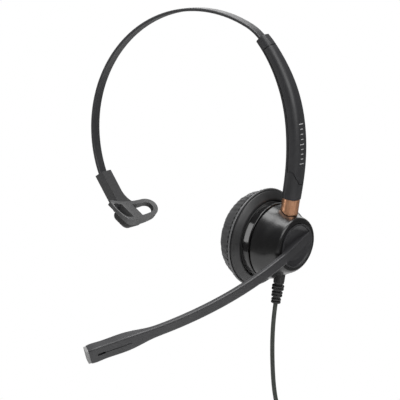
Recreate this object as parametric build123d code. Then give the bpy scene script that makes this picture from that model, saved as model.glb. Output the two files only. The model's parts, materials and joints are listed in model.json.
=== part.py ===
"""Office headset: one ear cup on a slim spring band, with a T-bar and a boom microphone.

Frame: millimetres, +Z up, X from ear to ear (the T-bar at -X, the cup at +X), front at -Y.
The origin is the inner apex of the band, where it rests on the head.
"""
from build123d import *
import math
import os

# --- band: a flat spring in one arc over the head, bent into the arm on the right ---
BAND_RADIUS = 72.5
BAND_CENTRE = (0.0, -71.6)          # X, Z of the arc over the head
BAND_THICK = 1.8
BAND_WIDTH = 7.0
SPRING_THICK = 0.7
SPRING_WIDTH = 5.4
STEM_BEND_RADIUS = 20.0             # where the band turns into the T-bar stem
STEM_START_ANGLE = 111.5            # degrees round from the apex
STEM_TILT = 33.1                    # degrees between the stem and the vertical
BAND_IN_STEM = 12.0
ARM_BEND_RADIUS = 30.0              # where the band turns into the arm

# --- arm: slides on the band round one centre ---
ARM_RADIUS = 85.0
ARM_CENTRE = (-22.3, -70.0)
ARM_TOP_ANGLE = 48.0                # degrees round from the vertical, at the mouth
ARM_DROP = 6.0                      # straight run below the arc
CUFF_BEND_RADIUS = 100.0
CUFF_ANGLE = 9.0                    # tilt of the swivel axis
CUFF_LENGTH = 9.8
CAP_LENGTH = 7.0
COVER_END = 85.6
COVER_ROUND = (11.0, 6.2)           # half axes of the U at the cover's lower end
STRIP_TOP = -1.9                    # the inner strip ends here, measured across the arm
ARM_ROUNDING = 0.42                 # corner radius of the arm, as a part of its thickness
PARTING = 0.4                       # width of the open joint lines between mouldings
BAND_INSERTED = 46.0
CHANNEL_HALF = BAND_WIDTH / 2 + 0.12
CHANNEL_END = 53.0
STOP_LENGTH = 5.0
# distance along the arm, thickness across, width front to back
ARM_STATIONS = [(0, 7.0, 8.6), (12, 7.7, 9.2), (26, 8.6, 10.2), (42, 9.3, 11.1), (58, 9.4, 11.8),
                (74, 9.4, 11.8), (84, 9.3, 11.6)]
CUFF_SIZE = (9.1, 11.3)

# --- cup: z outwards from the cup's centre, x up, y forwards ---
CUP_CENTRE = (55.7, 0.0, -128.1)
CUP_TURN = 11.0                     # degrees the cup is turned about the swivel axis
CUP_TIP = 7.0                       # degrees its outer face looks down
CUFF_BOTTOM = 27.1                  # along the swivel axis from the cup's centre
COLLAR_RADIUS = 4.95
SHAFT_RADIUS = 2.6
RUNNING = 0.05                      # radial play of a running fit
WALL = 1.8
# z, radius and upward shift of the housing's outline
HOUSING_STATIONS = [(-6.2, 21.6, 0.0), (-4.0, 21.0, 0.0), (0.0, 19.2, 0.3), (4.0, 17.2, 0.8),
                    (8.2, 15.5, 1.5), (8.9, 14.4, 1.5)]
RECESS_RADIUS = 12.95
RECESS_FLOOR = 7.0
BEZEL_RADIUS = 22.0
GASKET_TOP = -7.5
CUSHION_BACK = -12.6
BAFFLE_RADIUS = 18.3
DRIVER_OPENING = 10.2
SCREW_CIRCLE = 15.6

# --- boom: x along it, y down, z outwards from the disc's face ---
DISC_RADIUS = 12.7
DISC_FACE = 9.5                     # above the cup's centre
DISC_SHIFT = 1.5                    # up from the cup's centre
BOOM_DROP = 24.8                    # degrees below straight ahead
BOOM_LEVEL = 1.3                    # centre line above the disc's face
BOOM_HEIGHT = 6.0
BOOM_THICK = 3.2
BOOM_STRAIGHT = 22.0
BOOM_RADIUS = 166.0
BOOM_BEND = 29.2
BOOM_END_RUN = 34.7
END_CAP_LENGTH = 1.5
MIC_HEIGHT = 8.6
MIC_THICK = 6.4
MIC_SETBACK = 8.0                   # microphone to the boom's tip
MIC_TAPER_FAR, MIC_TAPER_NEAR = 41.0, 21.0      # where the bar widens, from its tip
MIC_GROOVE = 15.0                   # length of the fine line behind the microphone's slot
BOOM_SHAFT_RADIUS = 3.0
DISH_DEPTH = 1.6                    # hollow on each side of the bar, in the disc

# --- T-bar: x down the head, y to the back, z towards the head ---
STEM_THICK = 5.7
STEM_WIDTH = 9.0
STEM_TOP = (-67.2, -98.2)
PAD_ANGLE = 53.0                    # its face looks this far above the horizontal
PAD_DOWN = 34.2
PAD_LEVEL = -122.7
PAD_SKEW = 8.0
PAD_LENGTH = 37.4
PAD_FRONT_RADIUS = 8.5
PAD_REAR_RADIUS = 6.6
PAD_FACE_RADIUS = 47.0
PAD_BACK_RADIUS = 30.0
PAD_THICK = 4.4
RIM = 2.7
RIB_WIDTH = 8.6
CORE_DEPTH = 9.4

# --- cable ---
CABLE_DIAMETER = 2.5
RELIEF_END = 34.5
COIL_CENTRE = (36.3, 0.0, -250.0)
COIL_RADIUS = 15.0                  # at the middle of the turns
COIL_OUTER = 19.6
COIL_INNER = 10.6
COIL_WIDTH = 11.4
CABLE_ROUTE = [(50.3, 0.0, -162.2), (49.1, 0.0, -170.0), (48.2, 0.0, -184.5), (48.3, 0.4, -201.0),
               (49.6, 0.6, -216.0), (52.2, 2.0, -228.0), (53.8, 3.6, -238.0)]
TAIL_ROUTE = [(54.0, -4.1, -260.5), (53.9, -4.1, -270.5), (52.4, -4.1, -280.5), (49.8, -4.1, -289.0)]
PLUG_PIN_RADIUS = 1.75
PLUG_PIN_LENGTH = 14.0
PLUG_BODY_RADIUS = 3.6
PLUG_BODY_LENGTH = 17.0
PLUG_BOOT_LENGTH = 12.0


def save(name, shape):
    """One STEP file for each node."""
    solids = shape.solids()
    body = solids[0] if len(solids) == 1 else Compound(children=list(solids))
    export_step(body, f"parts/{name}.step")


def turned(point, angle, radius):
    """Point at an angle from the vertical round a centre, clockwise as seen from the front."""
    rad = math.radians(angle)
    return (point[0] + radius * math.sin(rad), point[1] + radius * math.cos(rad))


def circles_meet(c1, r1, c2, r2):
    """Upper crossing of two circles."""
    dx, dz = c2[0] - c1[0], c2[1] - c1[1]
    gap = math.hypot(dx, dz)
    along = (r1 * r1 - r2 * r2 + gap * gap) / (2 * gap)
    off = math.sqrt(r1 * r1 - along * along)
    mid = (c1[0] + along * dx / gap, c1[1] + along * dz / gap)
    sides = [(mid[0] + k * off * dz / gap, mid[1] - k * off * dx / gap) for k in (1, -1)]
    return max(sides, key=lambda p: p[1])


def angle_of(centre, point):
    """Angle of a point round a centre, in degrees from the vertical."""
    return math.degrees(math.atan2(point[0] - centre[0], point[1] - centre[1]))


def arc(centre, radius, start, end):
    """Arc round a centre in the XZ plane, between two angles from the vertical."""
    spots = [turned(centre, a, radius) for a in (start, (start + end) / 2, end)]
    return ThreePointArc(*[(p[0], 0, p[1]) for p in spots])


def line(a, b):
    return Line((a[0], 0, a[1]), (b[0], 0, b[1]))


def band_path():
    """Centre line of the band, from inside the stem to its end inside the arm."""
    start = -STEM_START_ANGLE
    bend_centre = turned(BAND_CENTRE, start, BAND_RADIUS - STEM_BEND_RADIUS)
    stem_in = turned(bend_centre, -90 - STEM_TILT, STEM_BEND_RADIUS)
    tilt = math.radians(STEM_TILT)
    stem_end = (stem_in[0] + BAND_IN_STEM * math.sin(tilt), stem_in[1] - BAND_IN_STEM * math.cos(tilt))
    fillet = circles_meet(BAND_CENTRE, BAND_RADIUS - ARM_BEND_RADIUS,
                          ARM_CENTRE, ARM_RADIUS - ARM_BEND_RADIUS)
    leave = angle_of(BAND_CENTRE, fillet)
    enter = angle_of(ARM_CENTRE, fillet)
    end = ARM_TOP_ANGLE + math.degrees(BAND_INSERTED / ARM_RADIUS)
    return Wire([line(stem_end, stem_in),
                 arc(bend_centre, STEM_BEND_RADIUS, -90 - STEM_TILT, start),
                 arc(BAND_CENTRE, BAND_RADIUS, start, leave),
                 arc(fillet, ARM_BEND_RADIUS, leave, enter),
                 arc(ARM_CENTRE, ARM_RADIUS, enter, end)])


def band_start(path):
    """Plane across the band at its end in the stem."""
    tilt = math.radians(STEM_TILT)
    return Plane(origin=path @ 0, x_dir=(math.cos(tilt), 0, math.sin(tilt)),
                 z_dir=(-math.sin(tilt), 0, math.cos(tilt)))


def band_pieces():
    """The steel spring and its smooth coating."""
    path = band_path()
    start = band_start(path)
    spring = sweep(start * Rectangle(SPRING_THICK, SPRING_WIDTH), path=path)
    outside = start * RectangleRounded(BAND_THICK, BAND_WIDTH, 0.7)
    return spring, sweep(outside - start * Rectangle(SPRING_THICK, SPRING_WIDTH), path=path)


def arm_plane(s, across=0.0):
    """Plane across the arm: x points away from the head, z runs down the arm."""
    arc_length = math.radians(90 - ARM_TOP_ANGLE) * ARM_RADIUS
    bend_length = math.radians(CUFF_ANGLE) * CUFF_BEND_RADIUS
    corner = (ARM_CENTRE[0] + ARM_RADIUS, ARM_CENTRE[1] - ARM_DROP)
    if s <= arc_length:
        angle = ARM_TOP_ANGLE + math.degrees(s / ARM_RADIUS)
        spot = turned(ARM_CENTRE, angle, ARM_RADIUS)
    elif s <= arc_length + ARM_DROP:
        angle = 90.0
        spot = (corner[0], ARM_CENTRE[1] - (s - arc_length))
    else:
        past = s - arc_length - ARM_DROP
        angle = 90 + math.degrees(min(past, bend_length) / CUFF_BEND_RADIUS)
        spot = turned((corner[0] - CUFF_BEND_RADIUS, corner[1]), angle, CUFF_BEND_RADIUS)
        rest = max(past - bend_length, 0.0)
        lean = math.radians(CUFF_ANGLE)
        spot = (spot[0] - rest * math.sin(lean), spot[1] - rest * math.cos(lean))
    rad = math.radians(angle)
    out = (math.sin(rad), 0, math.cos(rad))
    down = (math.cos(rad), 0, -math.sin(rad))
    return Plane(origin=(spot[0] + across * out[0], 0, spot[1] + across * out[2]), x_dir=out, z_dir=down)


def arm_slab(s0, s1, low, high, half_width):
    """Rectangular run along the arm between two distances, for channels and splits."""
    count = max(int((s1 - s0) / 8), 2)
    stops = [s0 + (s1 - s0) * i / count for i in range(count + 1)]
    middle = (low + high) / 2
    faces = [arm_plane(s, middle) * Rectangle(high - low, 2 * half_width) for s in stops]
    return loft(faces)


def arm_length():
    """Whole length of the arm along its centre line."""
    return (math.radians(90 - ARM_TOP_ANGLE) * ARM_RADIUS + ARM_DROP
            + math.radians(CUFF_ANGLE) * CUFF_BEND_RADIUS + CUFF_LENGTH)


def arm_body():
    """Outer shape of the whole arm, without any hollow."""
    stations = ARM_STATIONS + [(arm_length(), CUFF_SIZE[0], CUFF_SIZE[1])]
    faces = [arm_plane(s) * RectangleRounded(t, w, ARM_ROUNDING * t) for s, t, w in stations]
    return loft(faces)


def swivel_plane(height=0.0):
    """Plane across the swivel axis, at a height above the cup's centre."""
    lean = math.radians(CUFF_ANGLE)
    axis = Vector(math.sin(lean), 0, math.cos(lean))
    return Plane(origin=Vector(*CUP_CENTRE) + axis * height, x_dir=(math.cos(lean), 0, -math.sin(lean)),
                 z_dir=axis)


def swivel_cylinder(radius, low, high):
    """Cylinder on the swivel axis."""
    return extrude(swivel_plane(low) * Circle(radius), amount=high - low)


def cover_joint(side):
    """Open joint line along both sides of the cover and round its U-shaped end."""
    wide = arm_slab(CAP_LENGTH - 1, COVER_END, STRIP_TOP - 0.1, STRIP_TOP + PARTING, 9.0)
    inside = arm_slab(CAP_LENGTH - 2, COVER_END + 1, STRIP_TOP - 0.2, STRIP_TOP + 1, 3.9)
    along, across = COVER_ROUND
    half_ring = Ellipse(along, across) - Ellipse(along - PARTING, across - PARTING)
    half_ring = half_ring & Pos(along, 0) * Rectangle(2 * along, 4 * across)
    return wide - inside + extrude(side * half_ring, amount=11)


def arm_pieces():
    """Cap, frame and cover of the arm, with the channel that the band slides in."""
    whole = arm_body()
    cap = split(whole, bisect_by=arm_plane(CAP_LENGTH), keep=Keep.BOTTOM)
    rest = split(whole, bisect_by=arm_plane(CAP_LENGTH), keep=Keep.TOP)
    cap = cap - arm_slab(-2, CAP_LENGTH + 2, -1.2, 1.2, CHANNEL_HALF)
    cap = cap - arm_slab(1.5, CAP_LENGTH + 2, 0.9, 2.4, 2.6)
    cap = cap - (arm_slab(CAP_LENGTH - PARTING, CAP_LENGTH + 1, STRIP_TOP, 9.0, 9.0)
                 - arm_slab(CAP_LENGTH - 2, CAP_LENGTH + 2, -6.0, 2.9, 3.6))
    u_centre = COVER_END - COVER_ROUND[0]
    zone = arm_slab(CAP_LENGTH - 1, u_centre, STRIP_TOP, 9.0, 9.0)
    round_plane = arm_plane(u_centre, STRIP_TOP)
    side = Plane(origin=round_plane.origin, x_dir=round_plane.z_dir, z_dir=round_plane.x_dir)
    zone = zone + extrude(side * Ellipse(*COVER_ROUND), amount=11)
    cover = (rest & zone) - cover_joint(side)
    frame = rest - zone
    rail = arm_slab(CAP_LENGTH, CHANNEL_END, STRIP_TOP - 0.3, -1.2, 3.0)
    frame = frame + rail
    cover = cover - arm_slab(CAP_LENGTH - 1, CHANNEL_END, STRIP_TOP - 0.5, 1.2, CHANNEL_HALF)
    cover = cover - arm_slab(CAP_LENGTH - 1, CHANNEL_END, 1.0, 2.4, 3.2)
    screw_places = (60.0, 71.0)
    screws = []
    for s in screw_places:
        at = arm_plane(s)
        axis = Plane(origin=at.origin, x_dir=at.z_dir, z_dir=at.x_dir)
        head = extrude(axis.offset(-4.2) * Circle(1.5), amount=1.0)
        shank = extrude(axis.offset(-3.2) * Circle(0.8), amount=4.6)
        recess = extrude(axis.offset(-6.0) * Circle(1.6), amount=2.8)
        slot = extrude(axis.offset(-4.3) * Rectangle(2.2, 0.4), amount=0.6)
        screws.append(head + shank - slot)
        frame = frame - recess - extrude(axis.offset(-3.3) * Circle(0.85), amount=2.5)
        cover = cover - extrude(axis.offset(-2.5) * Circle(0.8), amount=3.9)
    bore = swivel_cylinder(SHAFT_RADIUS + RUNNING, CUFF_BOTTOM - 1, CUFF_BOTTOM + 7.5)
    pocket = swivel_cylinder(3.8, CUFF_BOTTOM + 7.4, CUFF_BOTTOM + 11.0)
    frame = frame - bore - pocket
    cover = cover - pocket
    leaf = arm_slab(2.2, 7.6, 1.5, 1.8, 2.0) + arm_slab(2.2, 3.4, 1.25, 1.8, 2.0)
    return cap, frame, cover, leaf, screws


def band_stop():
    """Small block on the end of the band, which cannot leave the arm."""
    start = BAND_INSERTED - STOP_LENGTH
    block = arm_slab(start, BAND_INSERTED, BAND_THICK / 2, 2.0, 2.7)
    return block + arm_slab(BAND_INSERTED, BAND_INSERTED + 0.8, -BAND_THICK / 2, 2.0, 2.7)


def cup_plane():
    """Frame of the cup: z along its outward axis, x up."""
    turn, tip = math.radians(CUP_TURN), math.radians(CUP_TIP)
    out = Vector(math.cos(tip) * math.cos(turn), -math.cos(tip) * math.sin(turn), -math.sin(tip))
    lean = math.radians(CUFF_ANGLE)
    up = Vector(math.sin(lean), 0, math.cos(lean))
    up = (up - out * up.dot(out)).normalized()
    return Plane(origin=CUP_CENTRE, x_dir=up, z_dir=out)


def in_cup(shape):
    return cup_plane().location * shape


def disc(radius, low, high, x=0.0, y=0.0):
    """Cylinder along the cup's axis."""
    return extrude(Plane.XY.offset(low) * Pos(x, y) * Circle(radius), amount=high - low)


def ring(inner, outer, low, high, x=0.0):
    return disc(outer, low, high, x) - disc(inner, low - 1, high + 1, x)


def housing_loft(shrink, low, high):
    """Stack of circles that follows the housing's outline, drawn in by a wall thickness."""
    faces = []
    for z, radius, shift in HOUSING_STATIONS:
        if low - 0.01 <= z <= high + 0.01:
            faces.append(Plane.XY.offset(z) * Pos(shift, 0) * Circle(radius - shrink))
    return loft(faces)


def cup_housing():
    """Outer shell of the cup with its bosses, shaft bores and the seat for the boom's disc."""
    outside = housing_loft(0, -6.2, 8.9)
    hollow = housing_loft(WALL, -6.2, 4.0) + disc(15.6, 3.9, 5.2, 0.8)
    shell = outside - hollow
    shell = shell - disc(RECESS_RADIUS, RECESS_FLOOR, 10, DISC_SHIFT)
    for angle in (60, 180, 300):
        x = SCREW_CIRCLE * math.cos(math.radians(angle))
        y = SCREW_CIRCLE * math.sin(math.radians(angle))
        post = disc(2.0, -10.3, 5.3, x, y) & (outside + disc(19, -12, -6.1))
        shell = shell + post
        shell = shell - disc(0.75, -10.4, -3.0, x, y)
    shell = shell - disc(BOOM_SHAFT_RADIUS + RUNNING, 4, 8, DISC_SHIFT)
    return shell


def cup_boss(shell):
    """Adds the boss that the strain relief grows from, and cuts both bores on the swivel axis."""
    boss = swivel_cylinder(3.15, -21.6, -17.0)
    outside = in_cup(housing_loft(0, -6.2, 8.9))
    boss = boss - outside
    boss = boss.solids().sort_by(Axis.Z)[0]
    shell = shell + boss
    shell = shell - swivel_cylinder(SHAFT_RADIUS, 10, 30)
    return shell - swivel_cylinder(CABLE_DIAMETER / 2 + 0.1, -30, -12)


def shaft_pieces():
    """Swivel shaft with its foot, and the clip that holds the arm on it."""
    foot = swivel_cylinder(3.9, 13.6, 15.6)
    shaft = foot + swivel_cylinder(SHAFT_RADIUS, 15.6, CUFF_BOTTOM + 10.4)
    shaft = shaft - (swivel_cylinder(SHAFT_RADIUS + 1, CUFF_BOTTOM + 7.9, CUFF_BOTTOM + 8.7)
                     - swivel_cylinder(2.0, CUFF_BOTTOM + 7.9, CUFF_BOTTOM + 8.7))
    clip = swivel_cylinder(3.5, CUFF_BOTTOM + 7.95, CUFF_BOTTOM + 8.65)
    clip = clip - swivel_cylinder(2.05, CUFF_BOTTOM + 7, CUFF_BOTTOM + 10)
    gap = extrude(swivel_plane(CUFF_BOTTOM + 7) * Pos(3, 0) * Rectangle(6, 2.0), amount=3)
    return shaft, clip - gap


def collar_piece():
    """Metal collar between the cuff and the cup, saddled to the housing."""
    body = swivel_cylinder(COLLAR_RADIUS, 15, CUFF_BOTTOM - 0.1)
    body = chamfer(body.edges().sort_by(Axis.Z)[-1], 0.25)
    body = body - swivel_cylinder(SHAFT_RADIUS, 10, 30)
    return body - in_cup(housing_loft(-0.35, -6.2, 8.9))


def cushion():
    """Closed solid with the cushion's true outer shape and its ear recess."""
    outer = [(22.5, CUSHION_BACK), (25.4, -14.4), (27.6, -16.0), (27.9, -17.6), (27.3, -20.0),
             (26.4, -23.0), (25.2, -25.4), (23.4, -27.6), (20.6, -29.9), (17.6, -31.0)]
    inner = [(14.6, -30.2), (12.6, -27.8), (12.0, -24.4), (12.3, -19.0), (13.2, -15.2), (15.2, -14.4)]
    face = make_face([Spline(*[(r, 0, z) for r, z in outer + inner]),
                      Polyline((15.2, 0, -14.4), (22.1, 0, -14.4), (22.1, 0, CUSHION_BACK),
                               (22.5, 0, CUSHION_BACK))])
    return revolve(face, axis=Axis.Z)


def cup_inside():
    """Bezel, gasket, baffle, driver, cone, board, cushion ring and cloth."""
    parts = {}
    bezel = ring(18.5, BEZEL_RADIUS, -12.1, GASKET_TOP)
    parts["cup_bezel"] = fillet(bezel.edges().filter_by(GeomType.CIRCLE).sort_by(SortBy.RADIUS)[-2:], 0.6)
    parts["cup_gasket"] = ring(18.6, 20.5, GASKET_TOP, -6.2)
    baffle = disc(BAFFLE_RADIUS, -12.0, -10.5) + disc(14.8, -13.7, -12.0)
    baffle = baffle - disc(DRIVER_OPENING, -15, -9)
    driver = disc(12.8, -10.5, -7.6) + disc(8.0, -7.6, -5.0)
    driver = driver - (disc(11.4, -10.6, -8.6) - disc(4.0, -10.6, -8.6))
    cone = revolve(make_face(Polyline((0, 0, -13.0), (3.5, 0, -12.6), (4.2, 0, -12.0), (9.9, 0, -12.6),
                                      (9.9, 0, -12.3), (4.2, 0, -11.6), (3.4, 0, -12.2), (0, 0, -12.6),
                                      (0, 0, -13.0))), axis=Axis.Z)
    screws = []
    for angle in (60, 180, 300):
        x = SCREW_CIRCLE * math.cos(math.radians(angle))
        y = SCREW_CIRCLE * math.sin(math.radians(angle))
        baffle = baffle - disc(0.95, -13, -9, x, y) - disc(1.75, -13, -11.3, x, y)
        head = disc(1.7, -12.1, -11.3, x, y)
        cross = extrude(Plane.XY.offset(-12.2) * Pos(x, y) * Rectangle(2.0, 0.4), amount=0.5)
        screws.append(head + disc(0.75, -11.3, -3.6, x, y) - cross)
    board = disc(10.6, -3.8, -2.8) + extrude(Plane.XY.offset(-2.8) * Rectangle(5, 4), amount=1.1)
    parts["baffle"] = baffle
    parts["speaker_driver"] = driver
    parts["speaker_cone"] = cone
    parts["circuit_board"] = board
    parts["cushion_ring"] = ring(15.3, 21.8, -14.0, -12.2)
    parts["speaker_cloth"] = disc(12.6, -14.1, -13.8)
    parts["housing_screws"] = Compound(children=screws)
    parts["ear_cushion"] = cushion()
    return {name: in_cup(shape) for name, shape in parts.items()}


def boom_plane():
    """Frame of the boom in the cup's frame: x along the boom, y down, z outwards."""
    drop = math.radians(BOOM_DROP)
    return Plane(origin=(DISC_SHIFT, 0, DISC_FACE), x_dir=(-math.sin(drop), math.cos(drop), 0),
                 z_dir=(0, 0, 1))


def in_boom(shape):
    return in_cup(boom_plane().location * shape)


def boom_station(s):
    """Plane across the boom: x down, y outwards, z along it."""
    bend_length = math.radians(BOOM_BEND) * BOOM_RADIUS
    past = min(max(s - BOOM_STRAIGHT, 0.0), bend_length)
    angle = past / BOOM_RADIUS
    run = min(s, BOOM_STRAIGHT)
    rest = max(s - BOOM_STRAIGHT - bend_length, 0.0)
    x = run + BOOM_RADIUS * math.sin(angle) + rest * math.cos(angle)
    z = BOOM_LEVEL - BOOM_RADIUS * (1 - math.cos(angle)) - rest * math.sin(angle)
    return Plane(origin=(x, 0, z), x_dir=(0, 1, 0), z_dir=(math.cos(angle), 0, -math.sin(angle)))


def boom_length():
    return BOOM_STRAIGHT + math.radians(BOOM_BEND) * BOOM_RADIUS + BOOM_END_RUN


def boom_size(s):
    """Height and thickness of the bar, larger round the microphone."""
    to_tip = boom_length() - s
    grow = min(max((MIC_TAPER_FAR - to_tip) / (MIC_TAPER_FAR - MIC_TAPER_NEAR), 0.0), 1.0)
    grow = grow * grow * (3 - 2 * grow)
    return (BOOM_HEIGHT + grow * (MIC_HEIGHT - BOOM_HEIGHT), BOOM_THICK + grow * (MIC_THICK - BOOM_THICK))


def boom_bar(start, end):
    """The bar's whole section between two distances."""
    count = int((end - start) / 7)
    faces = []
    for i in range(count + 1):
        s = start + (end - start) * i / count
        height, thick = boom_size(s)
        faces.append(boom_station(s) * RectangleRounded(height, thick, 0.8))
    return loft(faces)


def boom_half(start, end, sign):
    """Cutter on one side of the bar's centre line."""
    count = int((end - start) / 7)
    faces = []
    for i in range(count + 1):
        s = start + (end - start) * i / count
        faces.append(boom_station(s) * Pos(0, sign * 3) * Rectangle(12, 6))
    return loft(faces)


def mic_groove():
    """Fine line in the front face, from the microphone's slot back along the bar."""
    end = boom_length() - MIC_SETBACK - 2
    faces = []
    for i in range(4):
        s = end - MIC_GROOVE * i / 3
        faces.append(boom_station(s) * Pos(0, boom_size(s)[1] / 2) * Rectangle(0.4, 0.8))
    return loft(faces)


def boom_pieces():
    """The two shells of the bar, its end piece, the microphone and its lead."""
    parts = {}
    root = DISC_RADIUS + 0.2
    tip = boom_length() - END_CAP_LENGTH
    whole = boom_bar(root, tip)
    front = whole & boom_half(root, tip, 1)
    back = whole & boom_half(root, tip, -1)
    ramp_face = make_face(Polyline((-12.2, 0, 0.0), (root, 0, 0.0), (root, 0, BOOM_LEVEL + BOOM_THICK / 2),
                                   (9.5, 0, 2.5), (-12.2, 0, 0.25), (-12.2, 0, 0.0)))
    ramp = extrude(ramp_face, amount=BOOM_HEIGHT / 2, both=True)
    ramp = chamfer(ramp.faces().filter_by(Axis.Y).edges().filter_by(lambda e: e.center().Z > 1.0
                                                                    and e.length > 3.2), 0.45)
    ramp = ramp & disc(12.5, -1, 20) + (ramp - disc(12.4, -1, 20))
    lead_path = [boom_station(s).origin for s in (root + 2, 24, 40, 60, 80, 100, 118, tip - MIC_SETBACK - 2)]
    lead_line = Spline(*lead_path)
    lead_start = Plane(origin=lead_line @ 0, z_dir=lead_line % 0)
    channel = sweep(lead_start * Circle(0.6), path=lead_line)
    lead = sweep(lead_start * Circle(0.45), path=lead_line)
    mic = boom_station(boom_length() - MIC_SETBACK)
    across = Plane(origin=mic.origin, x_dir=mic.z_dir, z_dir=mic.y_dir)
    pocket = extrude(across.offset(-1.1) * Circle(2.5), amount=2.2)
    slot = extrude(across.offset(0.5) * SlotOverall(4.6, 1.2), amount=4)
    front = front + ramp - channel - pocket - slot - mic_groove()
    back = back - channel - pocket
    parts["boom_front_shell"] = front
    parts["boom_back_shell"] = back
    parts["mic_lead"] = lead
    capsule = extrude(across.offset(-1.0) * Circle(1.9), amount=1.5)
    parts["mic_capsule"] = capsule
    parts["mic_seal"] = extrude(across.offset(-1.0) * Circle(2.4), amount=1.9) - capsule - slot
    height, thick = boom_size(boom_length())
    end = boom_station(tip) * RectangleRounded(height - 0.5, thick - 0.4, 0.7)
    parts["boom_end_cap"] = extrude(end, amount=END_CAP_LENGTH)
    return {name: in_boom(shape) for name, shape in parts.items()}


def disc_pieces():
    """The boom's pivot disc with its shaft, clip and friction washer."""
    parts = {}
    plate = disc(DISC_RADIUS, -2.2, 0.0)
    dish = revolve(make_face(Polyline((0, 0, 0.1), (11.9, 0, 0.1), (11.4, 0, -0.7), (9, 0, -DISH_DEPTH),
                                      (0, 0, -DISH_DEPTH), (0, 0, 0.1))), axis=Axis.Z)
    dish = dish - Box(40, BOOM_HEIGHT, 6)
    plate = plate - dish - disc(1.2, -5, -DISH_DEPTH)
    parts["boom_disc"] = plate
    shaft = ring(1.2, BOOM_SHAFT_RADIUS, -6.6, -2.2)
    shaft = shaft - ring(2.2, BOOM_SHAFT_RADIUS + 1, -5.6, -4.9)
    parts["boom_shaft"] = shaft
    clip = ring(2.25, 4.4, -5.55, -4.95)
    parts["boom_clip"] = clip - Pos(0, 4, -5.2) * Box(2.4, 8, 2)
    parts["friction_washer"] = ring(3.4, 8.5, -2.45, -2.25)
    return {name: in_boom(shape) for name, shape in parts.items()}


def pad_plane():
    """Frame of the T-bar's face: x down the head, y to the back, z towards the head."""
    rad = math.radians(PAD_ANGLE)
    face = Vector(math.cos(rad), 0, math.sin(rad))
    down = Vector(math.sin(rad), 0, -math.cos(rad))
    return Plane(origin=down * PAD_DOWN + face * PAD_LEVEL, x_dir=down, z_dir=face)


def bow(radius, level, y):
    """Height of a bowed surface at a distance y from the middle."""
    return level + radius - math.sqrt(radius ** 2 - y ** 2)


def pad_slab():
    """Bowed slab between the face and the back of the T-bar's frame."""
    edge = PAD_LENGTH / 2 + 2
    top = [(0, y, bow(PAD_FACE_RADIUS, 0, y)) for y in (-edge, 0, edge)]
    bottom = [(0, y, bow(PAD_BACK_RADIUS, -PAD_THICK, y)) for y in (edge, 0, -edge)]
    face = make_face([ThreePointArc(*top), Line(top[2], bottom[0]),
                      ThreePointArc(*bottom), Line(bottom[2], top[0])])
    return extrude(face, amount=2 * PAD_FRONT_RADIUS, both=True)


def stem_fan():
    """Outline of the stem: straight in front, flaring at the back into the frame's upper rim."""
    half = STEM_WIDTH / 2
    flare = 5.0
    straight, end = 14, 24
    rear = [Line((0, half), (straight, half)),
            ThreePointArc((straight, half), (18.8, half + 1.6), (22.2, half + flare)),
            Line((22.2, half + flare), (end, half + flare))]
    return make_face(rear + [Line((end, half + flare), (end, -half)), Line((end, -half), (0, -half)),
                             Line((0, -half), (0, half))])


def pad_outline(inset):
    """Egg-shaped outline of the temple frame: wide in front, narrow at the back."""
    front = Pos(0, PAD_FRONT_RADIUS - PAD_LENGTH / 2) * Circle(PAD_FRONT_RADIUS - inset)
    rear = Pos(0, PAD_LENGTH / 2 - PAD_REAR_RADIUS) * Circle(PAD_REAR_RADIUS - inset)
    return Rot(0, 0, -PAD_SKEW) * make_hull(front.edges() + rear.edges())


def tbar_pieces():
    """Stem and temple frame in one moulding, and the soft core behind it."""
    place = pad_plane().location
    windows = pad_outline(RIM) - Rectangle(PAD_LENGTH, RIB_WIDTH)
    plate = place * (pad_slab() & extrude(pad_outline(0), amount=12, both=True))
    tilt = math.radians(STEM_TILT)
    stem_plane = Plane(origin=(STEM_TOP[0], 0, STEM_TOP[1]), x_dir=(math.sin(tilt), 0, -math.cos(tilt)),
                       z_dir=(math.cos(tilt), 0, math.sin(tilt)))
    stem = extrude(stem_plane * stem_fan(), amount=STEM_THICK / 2, both=True)
    path = band_path()
    slot = sweep(band_start(path) * RectangleRounded(BAND_THICK, BAND_WIDTH, 0.7), path=path)
    moulding = plate + stem - place * extrude(windows, amount=12, both=True) - slot
    core = extrude(Pos(-0.3, 1.2) * RectangleRounded(13.0, 17, 4), amount=-CORE_DEPTH)
    core = fillet(core.faces().sort_by(Axis.Z)[0].edges(), 2.8)
    core = place * (core - pad_slab() - Pos(0, 0, 4.9) * Box(40, 60, 14)) - stem
    return moulding, core


def relief_pieces():
    """Ribbed strain relief on the swivel axis under the cup."""
    core = loft([swivel_plane(-21.6) * Circle(2.5), swivel_plane(-RELIEF_END) * Circle(1.9)])
    ribs = core
    for low, high, radius in ((-25.4, -21.9, 3.4), (-29.3, -26.0, 3.05), (-33.2, -30.0, 2.7)):
        rib = loft([swivel_plane(low) * Circle(radius - 0.15), swivel_plane(high) * Circle(radius)])
        ribs = ribs + rib
    return ribs - swivel_cylinder(CABLE_DIAMETER / 2, -40, -10)


def cord(points):
    """Round tube along straight runs joined by tangent arcs; returns it with its length and radii."""
    radii = []
    for a, b, c in zip(points, points[1:], points[2:]):
        before, after = Vector(*b) - Vector(*a), Vector(*c) - Vector(*b)
        turn = math.radians(before.get_angle(after))
        radii.append(0.45 * min(before.length, after.length) / math.tan(turn / 2))
    path = FilletPolyline(*points, radius=radii)
    start = Plane(origin=path @ 0, z_dir=path % 0)
    tube = sweep(start * Circle(CABLE_DIAMETER / 2), path=path)
    return tube, path.length, radii


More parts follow.
